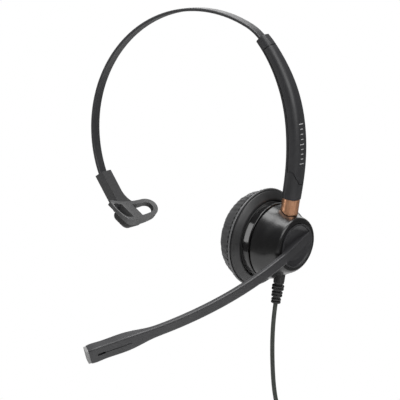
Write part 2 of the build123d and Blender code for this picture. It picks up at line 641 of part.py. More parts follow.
def plug_pieces():
    """Jack plug: contacts, body and boot, hanging from the end of the cable."""
    last, before = Vector(*TAIL_ROUTE[-1]), Vector(*TAIL_ROUTE[-2])
    axis = (last - before).normalized()
    top = Plane(origin=last, z_dir=axis)
    boot = loft([top * Circle(1.9), top.offset(PLUG_BOOT_LENGTH) * Circle(2.9)])
    body_top = PLUG_BOOT_LENGTH
    body = extrude(top.offset(body_top) * Circle(PLUG_BODY_RADIUS), amount=PLUG_BODY_LENGTH)
    body = fillet(body.edges().filter_by(GeomType.CIRCLE), 0.7)
    pin_top = body_top + PLUG_BODY_LENGTH
    pin = extrude(top.offset(pin_top) * Circle(PLUG_PIN_RADIUS), amount=PLUG_PIN_LENGTH - 2.6)
    nose = loft([top.offset(pin_top + PLUG_PIN_LENGTH - 2.6) * Circle(PLUG_PIN_RADIUS),
                 top.offset(pin_top + PLUG_PIN_LENGTH) * Circle(0.6)])
    print("plug pin from", top.offset(pin_top).origin, "axis", axis)
    return pin + nose, body, boot


def coil_pieces():
    """Closed solid of the coiled length, and the strap that ties it."""
    centre = Plane(origin=COIL_CENTRE, x_dir=(1, 0, 0), z_dir=(0, 1, 0))
    outer = extrude(centre * Circle(COIL_OUTER), amount=COIL_WIDTH / 2, both=True)
    inner = extrude(centre * Circle(COIL_INNER), amount=COIL_WIDTH, both=True)
    coil = outer - inner
    coil = fillet(coil.edges().filter_by(GeomType.CIRCLE), 2.5)
    reach = (COIL_OUTER - COIL_INNER) / 2
    spot = Plane(origin=(COIL_CENTRE[0], 0, COIL_CENTRE[2] + COIL_RADIUS), x_dir=(0, 1, 0), z_dir=(1, 0, 0))
    band = spot * (RectangleRounded(COIL_WIDTH + 2.4, 2 * reach + 2.4, 2.2)
                   - RectangleRounded(COIL_WIDTH + 0.6, 2 * reach + 0.6, 1.4))
    return coil, extrude(band, amount=3.0, both=True)


def main():
    os.makedirs("parts", exist_ok=True)
    spring, coating = band_pieces()
    save("spring_band", spring)
    save("band_coating", coating)
    save("band_stop", band_stop())
    moulding, core = tbar_pieces()
    save("tbar_frame", moulding)
    save("tbar_core", core)
    cap, frame, cover, leaf, screws = arm_pieces()
    save("arm_end_cap", cap)
    save("arm_frame", frame)
    save("arm_cover", cover)
    save("detent_spring", leaf)
    save("arm_screws", Compound(children=screws))
    save("cup_housing", cup_boss(in_cup(cup_housing())))
    shaft, clip = shaft_pieces()
    save("swivel_shaft", shaft)
    save("shaft_clip", clip)
    save("collar", collar_piece())
    groups = {}
    groups.update(cup_inside())
    groups.update(disc_pieces())
    groups.update(boom_pieces())
    for name, shape in groups.items():
        save(name, shape)
    save("strain_relief", relief_pieces())
    coil, tie = coil_pieces()
    save("cable_coil", coil)
    save("cable_tie", tie)
    for name, route in (("cable_tube", CABLE_ROUTE), ("cable_tail", TAIL_ROUTE)):
        tube, length, radii = cord(route)
        ideal = math.pi * (CABLE_DIAMETER / 2) ** 2 * length
        print(name, "length", round(length, 1), "volume ratio", round(tube.volume / ideal, 4),
              "radii", [round(r, 1) for r in radii])
        save(name, tube)
    pin, body, boot = plug_pieces()
    save("plug_contacts", pin)
    save("plug_body", body)
    save("plug_boot", boot)


if __name__ == "__main__":
    main()
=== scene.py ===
"""Looks of the office headset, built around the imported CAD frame."""
import json
import math

import bmesh
import bpy
import numpy as np
from mathutils import Matrix, Vector, noise


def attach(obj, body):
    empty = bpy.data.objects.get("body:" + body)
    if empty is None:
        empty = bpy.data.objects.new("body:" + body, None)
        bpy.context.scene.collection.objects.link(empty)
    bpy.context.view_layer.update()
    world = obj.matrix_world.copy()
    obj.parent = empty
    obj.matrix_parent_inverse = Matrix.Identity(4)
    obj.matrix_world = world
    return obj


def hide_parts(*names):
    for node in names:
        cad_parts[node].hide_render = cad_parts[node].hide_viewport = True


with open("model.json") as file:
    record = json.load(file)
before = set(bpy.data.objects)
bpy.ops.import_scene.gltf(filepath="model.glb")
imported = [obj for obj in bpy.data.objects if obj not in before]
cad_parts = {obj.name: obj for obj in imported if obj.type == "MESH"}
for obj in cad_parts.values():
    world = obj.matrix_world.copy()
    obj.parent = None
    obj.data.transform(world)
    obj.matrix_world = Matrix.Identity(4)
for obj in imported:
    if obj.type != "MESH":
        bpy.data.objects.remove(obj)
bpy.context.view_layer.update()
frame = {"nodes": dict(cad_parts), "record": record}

MM = 0.001
TAU = 2 * math.pi

# ---------------------------------------------------------------- driving sizes, as in the CAD model
# lengths in mm, angles in degrees
CUP_CENTRE = Vector((55.7, 0, -128.1)) * MM
CUP_TURN, CUP_TIP, CUFF_ANGLE = 11.0, 7.0, 9.0
CUFF_LEAN = math.radians(CUFF_ANGLE)
ARM_CENTRE = (-22.3, -70.0)
ARM_RADIUS, ARM_TOP_ANGLE = 85.0, 48.0
CABLE_DIAMETER = 2.5
CABLE_ROUTE = [(50.3, 0.0, -162.2), (49.1, 0.0, -170.0), (48.2, 0.0, -184.5), (48.3, 0.4, -201.0),
               (49.6, 0.6, -216.0), (52.2, 2.0, -228.0), (53.8, 3.6, -238.0)]
TAIL_ROUTE = [(54.0, -4.1, -260.5), (53.9, -4.1, -270.5), (52.4, -4.1, -280.5), (49.8, -4.1, -289.0)]
COIL_CENTRE = (36.3, -250.0)
COIL_RADII = (17.7, 15.0, 12.3)
COIL_COLUMNS = (4.1, 1.37, -1.37, -4.1)

# ---------------------------------------------------------------- camera, light and floor, in metres
CAMERA_TARGET = Vector((0, 0, -0.1081))
CAMERA_AZIMUTH, CAMERA_ELEVATION = math.radians(32), math.radians(10)
CAMERA_DISTANCE = 1.2
CAMERA_LENS = 188.8                  # mm, on a 36 mm sensor

STUDIO_CENTRE = (0.01, -0.02, -0.1)
STUDIO_LIGHTS = [                    # name, place, width and height, power in watts
    ("top", (0.05, 0.05, 1.0), (0.9, 0.8), 16),
    ("key", (0.85, -0.5, 0.5), (0.8, 0.8), 8),
    ("left", (-0.95, -0.8, 0.32), (0.25, 1.1), 4.0),
    ("back", (-0.4, 0.95, 0.3), (0.6, 0.6), 2.5),
]
WORLD_STRENGTH = 0.16

FLOOR_PLACE = (0.02, -0.04, -0.36)
FLOOR_RINGS, FLOOR_SPOKES = 8, 64
FLOOR_RING_WIDTH = 0.06


def add_camera():
    """Camera at the product view: a little to the right and above."""
    level = math.cos(CAMERA_ELEVATION)
    away = Vector((math.sin(CAMERA_AZIMUTH) * level, -math.cos(CAMERA_AZIMUTH) * level,
                   math.sin(CAMERA_ELEVATION)))
    data = bpy.data.cameras.new("camera")
    data.lens = CAMERA_LENS
    data.sensor_width = 36
    data.clip_start = 0.05
    camera = bpy.data.objects.new("camera", data)
    bpy.context.scene.collection.objects.link(camera)
    camera.location = CAMERA_TARGET + away * CAMERA_DISTANCE
    camera.rotation_euler = away.to_track_quat("Z", "Y").to_euler()
    bpy.context.scene.camera = camera


def add_area(name, place, size, power):
    """Rectangular light that faces the middle of the object."""
    data = bpy.data.lights.new(name, "AREA")
    data.shape = "RECTANGLE"
    data.size, data.size_y = size
    data.energy = power
    light = bpy.data.objects.new(name, data)
    bpy.context.scene.collection.objects.link(light)
    light.location = place
    light.rotation_euler = (Vector(place) - Vector(STUDIO_CENTRE)).to_track_quat("Z", "Y").to_euler()


def add_world():
    """Dim even studio for the object, white where the camera looks past it."""
    world = bpy.data.worlds.new("studio")
    bpy.context.scene.world = world
    world.use_nodes = True
    nodes, links = world.node_tree.nodes, world.node_tree.links
    dim = nodes["Background"]
    dim.inputs["Color"].default_value = (1, 1, 1, 1)
    dim.inputs["Strength"].default_value = WORLD_STRENGTH
    bright = nodes.new("ShaderNodeBackground")
    bright.inputs["Color"].default_value = (1, 1, 1, 1)
    path = nodes.new("ShaderNodeLightPath")
    mix = nodes.new("ShaderNodeMixShader")
    links.new(path.outputs["Is Camera Ray"], mix.inputs["Fac"])
    links.new(dim.outputs["Background"], mix.inputs[1])
    links.new(bright.outputs["Background"], mix.inputs[2])
    links.new(mix.outputs["Shader"], nodes["World Output"].inputs["Surface"])


def add_floor():
    """Round pale floor below the hanging plug."""
    vertices, faces = [(0, 0, 0)], []
    for ring in range(1, FLOOR_RINGS + 1):
        radius = FLOOR_RING_WIDTH * ring
        outer = 1 + (ring - 1) * FLOOR_SPOKES
        inner = outer - FLOOR_SPOKES
        for j in range(FLOOR_SPOKES):
            k = (j + 1) % FLOOR_SPOKES
            angle = TAU * j / FLOOR_SPOKES
            vertices.append((radius * math.cos(angle), radius * math.sin(angle), 0))
            if ring == 1:
                faces.append((0, outer + j, outer + k))
            else:
                faces.append((inner + j, outer + j, outer + k, inner + k))
    mat, nodes, links, shader = new_material("floor_white")
    shader.inputs["Roughness"].default_value = 0.9
    tint(nodes, links, shader, (0.93, 0.93, 0.93), (0.96, 0.96, 0.96), 3.0)
    floor = add_mesh("floor", vertices, faces, mat)
    floor.location = FLOOR_PLACE


def add_stage():
    """Pale world, soft studio lights and the floor."""
    bpy.context.scene.view_settings.view_transform = "Standard"
    add_world()
    for name, place, size, power in STUDIO_LIGHTS:
        add_area(name, place, size, power)
    add_floor()


# ---------------------------------------------------------------- material building blocks
NOISE_LOW, NOISE_HIGH = 0.3, 0.7     # most values of a noise texture lie between these


def new_material(name):
    mat = bpy.data.materials.new(name)
    mat.use_nodes = True
    nodes, links = mat.node_tree.nodes, mat.node_tree.links
    return mat, nodes, links, nodes["Principled BSDF"]


def coordinates(nodes, links, scale=(1, 1, 1), rotation=(0, 0, 0)):
    coord = nodes.new("ShaderNodeTexCoord")
    mapping = nodes.new("ShaderNodeMapping")
    mapping.inputs["Scale"].default_value = scale
    mapping.inputs["Rotation"].default_value = rotation
    links.new(coord.outputs["Object"], mapping.inputs["Vector"])
    return mapping.outputs["Vector"]


def noise_value(nodes, links, vector, scale, detail=3.0, roughness=0.55):
    tex = nodes.new("ShaderNodeTexNoise")
    tex.inputs["Scale"].default_value = scale
    tex.inputs["Detail"].default_value = detail
    tex.inputs["Roughness"].default_value = roughness
    links.new(vector, tex.inputs["Vector"])
    return tex.outputs["Fac"]


def ramp(nodes, links, value, low, high):
    """Spreads a noise over the values from low to high."""
    node = nodes.new("ShaderNodeMapRange")
    node.inputs["From Min"].default_value = NOISE_LOW
    node.inputs["From Max"].default_value = NOISE_HIGH
    node.inputs["To Min"].default_value = low
    node.inputs["To Max"].default_value = high
    links.new(value, node.inputs["Value"])
    return node.outputs["Result"]


def blend_colours(nodes, links, factor, first, second):
    """Spreads a noise over the colours from the first to the second."""
    node = nodes.new("ShaderNodeValToRGB")
    node.color_ramp.elements[0].color = (*first, 1)
    node.color_ramp.elements[1].color = (*second, 1)
    node.color_ramp.elements[0].position = NOISE_LOW
    node.color_ramp.elements[1].position = NOISE_HIGH
    links.new(factor, node.inputs["Fac"])
    return node.outputs["Color"]


def tint(nodes, links, shader, first, second, scale):
    """Slow drift of the base colour between two colours."""
    value = noise_value(nodes, links, coordinates(nodes, links), scale)
    links.new(blend_colours(nodes, links, value, first, second), shader.inputs["Base Color"])


def bump(nodes, links, shader, height, distance, strength=1.0, below=None):
    """Bump on the shader's normal, over another bump if one is given."""
    node = nodes.new("ShaderNodeBump")
    node.inputs["Distance"].default_value = distance
    node.inputs["Strength"].default_value = strength
    links.new(height, node.inputs["Height"])
    if below is not None:
        links.new(below, node.inputs["Normal"])
    links.new(node.outputs["Normal"], shader.inputs["Normal"])
    return node.outputs["Normal"]


def plastic(name, dark, light, rough, grain=2600.0, depth=0.02, coat=0.0):
    """Moulded plastic: slow colour drift, spark-eroded grain and uneven polish."""
    mat, nodes, links, shader = new_material(name)
    tint(nodes, links, shader, dark, light, 45.0)
    vector = coordinates(nodes, links)
    fine = noise_value(nodes, links, vector, grain, 4.0)
    cloud = noise_value(nodes, links, vector, 160.0, 2.0)
    links.new(ramp(nodes, links, cloud, rough * 0.9, rough * 1.12), shader.inputs["Roughness"])
    bump(nodes, links, shader, fine, depth * MM)
    shader.inputs["Coat Weight"].default_value = coat
    shader.inputs["Coat Roughness"].default_value = 0.08
    return mat


def metal(name, dark, light, rough, stretch, turn=(0, 0, 0), anisotropic=0.4):
    """Brushed metal: fine lines across the stretched direction."""
    mat, nodes, links, shader = new_material(name)
    shader.inputs["Metallic"].default_value = 1.0
    vector = coordinates(nodes, links, stretch, turn)
    lines = noise_value(nodes, links, vector, 1.0, 5.0, 0.65)
    links.new(blend_colours(nodes, links, lines, dark, light), shader.inputs["Base Color"])
    links.new(ramp(nodes, links, lines, rough * 0.8, rough * 1.3), shader.inputs["Roughness"])
    bump(nodes, links, shader, lines, 0.006 * MM, 0.6)
    shader.inputs["Anisotropic"].default_value = anisotropic
    return mat


def leatherette():
    """Soft synthetic leather: pebbled grain over shallow creases."""
    mat, nodes, links, shader = new_material("leatherette_black")
    vector = coordinates(nodes, links)
    cells = nodes.new("ShaderNodeTexVoronoi")
    cells.feature = "SMOOTH_F1"
    cells.inputs["Scale"].default_value = 1500.0
    cells.inputs["Smoothness"].default_value = 0.6
    warp = nodes.new("ShaderNodeVectorMath")
    warp.operation = "ADD"
    links.new(vector, warp.inputs[0])
    wobble = nodes.new("ShaderNodeTexNoise")
    wobble.inputs["Scale"].default_value = 420.0
    links.new(vector, wobble.inputs["Vector"])
    shrink = nodes.new("ShaderNodeVectorMath")
    shrink.operation = "SCALE"
    shrink.inputs["Scale"].default_value = 0.6 * MM
    links.new(wobble.outputs["Color"], shrink.inputs[0])
    links.new(shrink.outputs["Vector"], warp.inputs[1])
    links.new(warp.outputs["Vector"], cells.inputs["Vector"])
    creases = noise_value(nodes, links, vector, 260.0, 5.0, 0.6)
    creased = bump(nodes, links, shader, creases, 0.12 * MM, 0.7)
    bump(nodes, links, shader, cells.outputs["Distance"], 0.05 * MM, 0.8, creased)
    links.new(blend_colours(nodes, links, creases, (0.034, 0.034, 0.035), (0.055, 0.055, 0.057)),
              shader.inputs["Base Color"])
    links.new(ramp(nodes, links, creases, 0.36, 0.5), shader.inputs["Roughness"])
    shader.inputs["Sheen Weight"].default_value = 0.08
    return mat


def woven(name, dark, light, scale):
    """Fine woven cloth or strap: two crossing waves."""
    mat, nodes, links, shader = new_material(name)
    vector = coordinates(nodes, links, (1, 1, 1), (0.3, 0.5, 0.2))
    mix = nodes.new("ShaderNodeMath")
    mix.operation = "MULTIPLY"
    for socket, direction in enumerate(("X", "Z")):
        wave = nodes.new("ShaderNodeTexWave")
        wave.bands_direction = direction
        wave.inputs["Scale"].default_value = scale
        wave.inputs["Distortion"].default_value = 0.6
        links.new(vector, wave.inputs["Vector"])
        links.new(wave.outputs["Fac"], mix.inputs[socket])
    links.new(blend_colours(nodes, links, mix.outputs["Value"], dark, light), shader.inputs["Base Color"])
    bump(nodes, links, shader, mix.outputs["Value"], 0.06 * MM, 0.9)
    shader.inputs["Roughness"].default_value = 0.85
    shader.inputs["Sheen Weight"].default_value = 0.3
    return mat


def board_material():
    """Green circuit board with fine tracks."""
    mat, nodes, links, shader = new_material("board_green")
    vector = coordinates(nodes, links)
    tracks = nodes.new("ShaderNodeTexBrick")
    tracks.inputs["Scale"].default_value = 900.0
    tracks.inputs["Color1"].default_value = (0.01, 0.09, 0.03, 1)
    tracks.inputs["Color2"].default_value = (0.012, 0.12, 0.045, 1)
    tracks.inputs["Mortar"].default_value = (0.25, 0.2, 0.05, 1)
    tracks.inputs["Mortar Size"].default_value = 0.01
    links.new(vector, tracks.inputs["Vector"])
    links.new(tracks.outputs["Color"], shader.inputs["Base Color"])
    shader.inputs["Roughness"].default_value = 0.35
    return mat


# dark and light colour, roughness, and where they differ from plastic(): grain, its depth in mm, coat
PLASTICS = {
    "band_satin": ((0.026, 0.026, 0.028), (0.034, 0.034, 0.036), 0.4, 2200, 0.0015),
    "arm_satin": ((0.022, 0.022, 0.024), (0.029, 0.029, 0.031), 0.43, 2200, 0.0015),
    "tbar_matte": ((0.04, 0.04, 0.041), (0.052, 0.052, 0.053), 0.55, 2000, 0.006),
    "rubber_black": ((0.012, 0.012, 0.012), (0.019, 0.019, 0.019), 0.6, 1700, 0.03),
    "cup_gloss": ((0.004, 0.004, 0.0045), (0.007, 0.0065, 0.0065), 0.3, 900, 0.0006, 0.12),
    "bezel_gloss": ((0.004, 0.004, 0.0045), (0.007, 0.0065, 0.0065), 0.12, 900, 0.0004),
    "inner_plastic": ((0.02, 0.02, 0.02), (0.03, 0.03, 0.03), 0.55),
    "boom_satin": ((0.022, 0.022, 0.024), (0.03, 0.03, 0.032), 0.42, 2000, 0.003),
    "boom_end_grey": ((0.2, 0.2, 0.2), (0.26, 0.26, 0.26), 0.6, 1800, 0.03),
    "cable_jacket": ((0.026, 0.03, 0.025), (0.038, 0.043, 0.036), 0.5, 1500, 0.006),
    "plug_shell": ((0.02, 0.02, 0.02), (0.03, 0.03, 0.03), 0.4),
    "cone_film": ((0.25, 0.19, 0.1), (0.33, 0.27, 0.16), 0.4, 600, 0.02),
    "leather_back": ((0.017, 0.017, 0.0175), (0.03, 0.03, 0.031), 0.46, 1400, 0.012),
    # the piping is real; its light grey is a painted highlight along the seam's edge
    "piping_painted_highlight": ((0.1, 0.1, 0.102), (0.15, 0.15, 0.153), 0.4, 1600, 0.01),
    # near-black stitches: partly the real thread, partly painted shade of the stitch holes
    "stitch_thread_and_hole_shade": ((0.003, 0.003, 0.003), (0.006, 0.006, 0.006), 0.9, 1600, 0.02),
}
# dark and light colour, roughness, texture scale along x, y and z; copper also leans with the cuff
METALS = {
    "spring_steel": ((0.5, 0.5, 0.51), (0.66, 0.66, 0.67), 0.3, (3000, 60, 3000)),
    "screw_steel": ((0.35, 0.35, 0.36), (0.5, 0.5, 0.51), 0.3, (900, 900, 900)),
    "driver_metal": ((0.45, 0.45, 0.46), (0.6, 0.6, 0.61), 0.35, (900, 900, 900)),
    "copper": ((0.9, 0.43, 0.23), (1.0, 0.57, 0.36), 0.32, (4200, 4200, 90), (0, -CUFF_LEAN, 0), 0.3),
    "plug_metal": ((0.75, 0.56, 0.25), (0.9, 0.72, 0.4), 0.18, (60, 60, 3000)),
}


def make_materials():
    """All looks by name: the CAD nodes' material slots and a few finer ones."""
    looks = {name: plastic(name, *values) for name, values in PLASTICS.items()}
    looks |= {name: metal(name, *values) for name, values in METALS.items()}
    looks["speaker_fabric"] = woven("speaker_fabric", (0.008, 0.008, 0.008), (0.03, 0.03, 0.03), 1400)
    looks["tie_strap"] = woven("tie_strap", (0.012, 0.012, 0.012), (0.04, 0.04, 0.04), 900)
    looks["leatherette"] = leatherette()
    looks["board_green"] = board_material()
    return looks


# ---------------------------------------------------------------- small mesh helpers
def add_mesh(name, vertices, faces, material, smooth=True):
    mesh = bpy.data.meshes.new(name)
    mesh.from_pydata([tuple(v) for v in vertices], [], faces)
    mesh.update()
    mesh.materials.append(material)
    for polygon in mesh.polygons:
        polygon.use_smooth = smooth
    obj = bpy.data.objects.new(name, mesh)
    bpy.context.scene.collection.objects.link(obj)
    return obj


def apply_modifiers(obj):
    """Turns the object's modifiers into its own mesh."""
    graph = bpy.context.evaluated_depsgraph_get()
    mesh = bpy.data.meshes.new_from_object(obj.evaluated_get(graph))
    obj.modifiers.clear()
    obj.data = mesh


def skin_faces(first, rings, count, closed=False, caps=True):
    """Faces over rings of points, each of the same count, from the first vertex on."""
    faces = []
    for i in range(rings if closed else rings - 1):
        a, b = first + i * count, first + (i + 1) % rings * count
        for j in range(count):
            k = (j + 1) % count
            faces.append((a + j, a + k, b + k, b + j))
    if caps and not closed:
        last = first + (rings - 1) * count
        faces.append(tuple(first + j for j in reversed(range(count))))
        faces.append(tuple(last + j for j in range(count)))
    return faces


def rings_mesh(name, rings, material, closed=False, caps=True, smooth=True):
    """Mesh piece with a skin over rings of points."""
    vertices = [point for ring in rings for point in ring]
    faces = skin_faces(0, len(rings), len(rings[0]), closed, caps)
    return add_mesh(name, vertices, faces, material, smooth)


def cup_matrix():
    """Frame of the cup: z outwards, x up."""
    turn, tip = math.radians(CUP_TURN), math.radians(CUP_TIP)
    out = Vector((math.cos(tip) * math.cos(turn), -math.cos(tip) * math.sin(turn), -math.sin(tip)))
    up = Vector((math.sin(CUFF_LEAN), 0, math.cos(CUFF_LEAN)))
    up = (up - out * up.dot(out)).normalized()
    side = out.cross(up)
    rows = [(up[i], side[i], out[i], CUP_CENTRE[i]) for i in range(3)]
    return Matrix(rows + [(0, 0, 0, 1)])


CUP = cup_matrix()


def cup_point(radius, angle, z):
    """Point given in the cup's frame in millimetres, as a point of the shared frame in metres."""
    return CUP @ (Vector((radius * math.cos(angle), radius * math.sin(angle), z)) * MM)


# ---------------------------------------------------------------- cable
TURN_POINTS = 16                     # control points on each turn of the coil
TURN_WANDER = 0.12                   # how far hand-wound turns stray, in mm


def coil_turns():
    """Control points of the wound length: one serpentine of turns through the layers."""
    cells = []
    for index, column in enumerate(COIL_COLUMNS):
        layers = COIL_RADII if index % 2 == 0 else COIL_RADII[::-1]
        cells += [(radius, column) for radius in layers]
    points = []
    turns = len(cells) - 1
    for step in range(turns * TURN_POINTS + 1):
        turn, part = divmod(step / TURN_POINTS, 1)
        turn = int(turn)
        here, following = cells[turn], cells[min(turn + 1, turns)]
        ease = part * part * (3 - 2 * part)
        radius = here[0] + (following[0] - here[0]) * ease
        column = here[1] + (following[1] - here[1]) * ease
        wander = TURN_WANDER * noise.noise(Vector((step * 0.13, turn * 1.7, 0.5)))
        angle = TAU * step / TURN_POINTS
        points.append((COIL_CENTRE[0] + (radius + wander) * math.cos(angle), column,
                       COIL_CENTRE[1] - (radius + wander) * math.sin(angle)))
    return points


TIE_WIDTH, TIE_THICK = 9.0, 0.9
TIE_HALF_SIZE = (4.75, 5.95)         # half the loop, across the turns and along the coil's axis
TIE_STEPS, TIE_LAP_STEPS = 56, 9     # steps once round, and steps of the folded free end
TIE_START = 0.6                      # radians, where the strap begins
TIE_POINTS = 5                       # points across the strap's width
TIE_EDGE = 0.7                       # the woven edge's thickness, as a share of the middle's


def add_tie(looks):
    """Woven strap pulled snug round the coil's top, with its free end folded over."""
    radial, side = TIE_HALF_SIZE
    middle = COIL_CENTRE[1] + COIL_RADII[1]
    rings = []
    for step in range(TIE_STEPS + TIE_LAP_STEPS):
        angle = TAU * step / TIE_STEPS + TIE_START
        lap = max(0, step - TIE_STEPS)
        lift = TIE_THICK * (0.5 + min(1.0, lap / 3) * 1.05)
        c, s = math.cos(angle), math.sin(angle)
        power = (abs(c) ** 4 + abs(s) ** 4) ** 0.25
        y, z = side * c / power, radial * s / power
        normal = Vector((0, math.copysign(abs(c) ** 3, c), math.copysign(abs(s) ** 3, s))).normalized()
        lower, upper = [], []
        for k in range(TIE_POINTS):
            x = TIE_WIDTH * (k / (TIE_POINTS - 1) - 0.5)
            half = TIE_THICK * 0.5 * (TIE_EDGE if k in (0, TIE_POINTS - 1) else 1.0)
            base = Vector((COIL_CENTRE[0] + x, y, middle + z))
            lower.append((base + normal * (lift - half)) * MM)
            upper.append((base + normal * (lift + half)) * MM)
        rings.append(lower + upper[::-1])
    tie = rings_mesh("tie_strap", rings, looks["tie_strap"])
    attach(tie, "cup")
    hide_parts("cable_tie")
    return tie


def add_cable(looks):
    """One spline from the strain relief through the coil to the plug."""
    tie = add_tie(looks)
    curve = bpy.data.curves.new("cable", "CURVE")
    curve.dimensions = "3D"
    curve.bevel_depth = CABLE_DIAMETER / 2 * MM
    curve.bevel_resolution = 4
    curve.resolution_u = 6
    curve.use_fill_caps = True
    points = CABLE_ROUTE + coil_turns() + TAIL_ROUTE
    spline = curve.splines.new("NURBS")
    spline.points.add(len(points) - 1)
    for place, point in zip(spline.points, points):
        place.co = (*[c * MM for c in point], 1)
    spline.order_u = 3
    spline.use_endpoint_u = True
    cable = bpy.data.objects.new("cable", curve)
    bpy.context.scene.collection.objects.link(cable)
    curve.materials.append(looks["cable_jacket"])
    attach(cable, "cup")
    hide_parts("cable_tube", "cable_coil", "cable_tail")


# ---------------------------------------------------------------- ear cushion
# radius and depth in the cup's frame, from the seam over the roll into the ear recess
ROLL = [(27.7, -17.2), (27.5, -18.6), (27.2, -20.0), (26.8, -21.5), (26.3, -23.0), (25.5, -25.0),
        (24.4, -26.7), (22.9, -28.2), (21.2, -29.5), (19.4, -30.4), (17.6, -30.7), (16.0, -30.4),
        (14.6, -29.5), (13.5, -28.2), (12.8, -26.4), (12.4, -24.4), (12.3, -22.0), (12.5, -19.0),
        (13.2, -16.2)]
BACK = [(13.2, -16.2), (14.6, -14.7), (22.0, -14.5), (22.2, -13.2), (22.6, -12.8), (23.6, -13.4),
        (25.2, -14.5), (26.6, -15.5), (27.5, -16.5)]
AROUND = 480                         # points in each ring of the cushion
BROAD_FOLD, SEAM_FOLD = 0.10, 0.55   # heights of the broad folds, and of the gathers at the seam
SEAM_RINGS = 9                       # rings of the roll that the gathers reach
CREST_RING = 10                      # from this ring on, the roll turns down into the recess
FACE_RINGS = range(6, 14)            # rings whose folds also stand towards the wearer
SEWN_RINGS = 2                       # rings held still at each end of the roll
CLOTH_SCALE = 10.0                   # the cloth is simulated at this many times its size
CLOTH_FRAMES = 20
MOVE_LIMIT = 0.006                   # how far the cloth may move a point at that size, in metres
WELD = 0.02 * MM


def ridged(angle, seed, sharp):
    """Folds round the cushion: 1 on a fold's crest."""
    spot = Vector((math.cos(angle) * sharp, math.sin(angle) * sharp, seed))
    return 1 - 2 * abs(noise.noise(spot))


def fold_height(index, angle, span):
    """Height of the folds on one ring of the roll, where span is 0 at its ends and 1 midway."""
    near_seam = max(0.0, 1 - index / SEAM_RINGS)
    broad = BROAD_FOLD * span * ridged(angle, 3.1 + 0.04 * index, 5.0)
    depth = BROAD_FOLD * span + SEAM_FOLD * near_seam * span ** 0.4
    return broad + depth * (ridged(angle, 8.7 + 0.03 * index, 9.0) - 0.75)


def simulate_roll(obj, pinned):
    """Lets the leatherette swell and pucker between its sewn edges, by cloth simulation."""
    start = np.array([v.co[:] for v in obj.data.vertices])
    group = obj.vertex_groups.new(name="sewn")
    group.add(pinned, 1.0, "REPLACE")
    cloth = obj.modifiers.new("cloth", "CLOTH")
    settings = cloth.settings
    settings.quality = 6
    settings.mass = 0.25
    settings.tension_stiffness = 12
    settings.compression_stiffness = 12
    settings.shear_stiffness = 4
    settings.bending_stiffness = 0.25
    settings.use_pressure = True
    settings.uniform_pressure_force = 2.0
    settings.shrink_min = -0.04
    settings.vertex_group_mass = "sewn"
    settings.effector_weights.gravity = 0
    scene = bpy.context.scene
    scene.frame_start, scene.frame_end = 1, CLOTH_FRAMES + 2
    cloth.point_cache.frame_start = scene.frame_start
    cloth.point_cache.frame_end = scene.frame_end
    for number in range(1, CLOTH_FRAMES + 1):
        scene.frame_set(number)
    apply_modifiers(obj)
    moved = np.array([v.co[:] for v in obj.data.vertices]) - start
    length = np.linalg.norm(moved, axis=1, keepdims=True)
    moved *= np.minimum(1.0, MOVE_LIMIT / np.maximum(length, 1e-9))
    for vertex, place in zip(obj.data.vertices, start + moved):
        vertex.co = place
    scene.frame_set(1)


def roll_rings():
    """Rings over the gathered roll, at the size of the simulation."""
    rings = []
    for index, (radius, z) in enumerate(ROLL):
        span = math.sin(math.pi * index / (len(ROLL) - 1))
        pinch = 1 - 0.012 * span
        ring = []
        for j in range(AROUND):
            angle = TAU * j / AROUND
            fold = fold_height(index, angle, span)
            r = radius * pinch + fold * (1 if index < CREST_RING else -0.6)
            depth = z - fold * 0.6 * (1 if index in FACE_RINGS else 0)
            ring.append(Vector((r * math.cos(angle), r * math.sin(angle), depth)) * MM * CLOTH_SCALE)
        rings.append(ring)
    return rings


def back_rings():
    """Rings over the smooth tapered back, at the size of the simulation."""
    rings = []
    for radius, z in BACK:
        angles = [TAU * j / AROUND for j in range(AROUND)]
        rings.append([Vector((radius * math.cos(a), radius * math.sin(a), z)) * MM * CLOTH_SCALE
                      for a in angles])
    return rings


def add_cushion(looks):
    """Leatherette cushion: gathered roll, sewn seam, smooth back."""
    roll = rings_mesh("cushion_roll", roll_rings(), looks["leatherette"], caps=False)
    sewn, total = SEWN_RINGS * AROUND, len(ROLL) * AROUND
    simulate_roll(roll, list(range(sewn)) + list(range(total - sewn, total)))
    back = rings_mesh("cushion_back", back_rings(), looks["leatherette"], caps=False)
    for piece in (roll, back):
        piece.data.transform(Matrix.Scale(1 / CLOTH_SCALE, 4))
        piece.data.transform(CUP)
        piece.data.materials.append(looks["leather_back"])
    for polygon in back.data.polygons:
        polygon.material_index = 1
    join = bmesh.new()
    join.from_mesh(roll.data)
    join.from_mesh(back.data)
    bmesh.ops.remove_doubles(join, verts=join.verts, dist=WELD)
    bmesh.ops.holes_fill(join, edges=[e for e in join.edges if e.is_boundary], sides=0)
    bmesh.ops.recalc_face_normals(join, faces=join.faces)
    join.to_mesh(roll.data)
    join.free()
    bpy.data.objects.remove(back)
    roll.name = "ear_cushion_cover"
    for polygon in roll.data.polygons:
        polygon.use_smooth = True
    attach(roll, "cup")
    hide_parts("ear_cushion")


# ---------------------------------------------------------------- seam and stitches
PIPING_RADIUS, PIPING_DEPTH = 27.87, -16.8
PIPING_HALF = (0.55, 0.5)            # half the piping, outwards and in depth
PIPING_GATHER, GATHERS = 0.07, 120   # height of the gathers, and how many there are round the seam
PIPING_AROUND, PIPING_POINTS = 360, 10

STITCHES = 62
STITCH_RADIUS, STITCH_DEPTH = 27.45, -18.15
STITCH_HALF_ANGLE = 0.8 / 27.6       # half a stitch's length over the radius it lies on
STITCH_HALF = (0.34, 0.36)           # half the thread, outwards and in depth
STITCH_LIFT = 0.16                   # how far a stitch's middle stands off
STITCH_RINGS, STITCH_POINTS = 7, 6


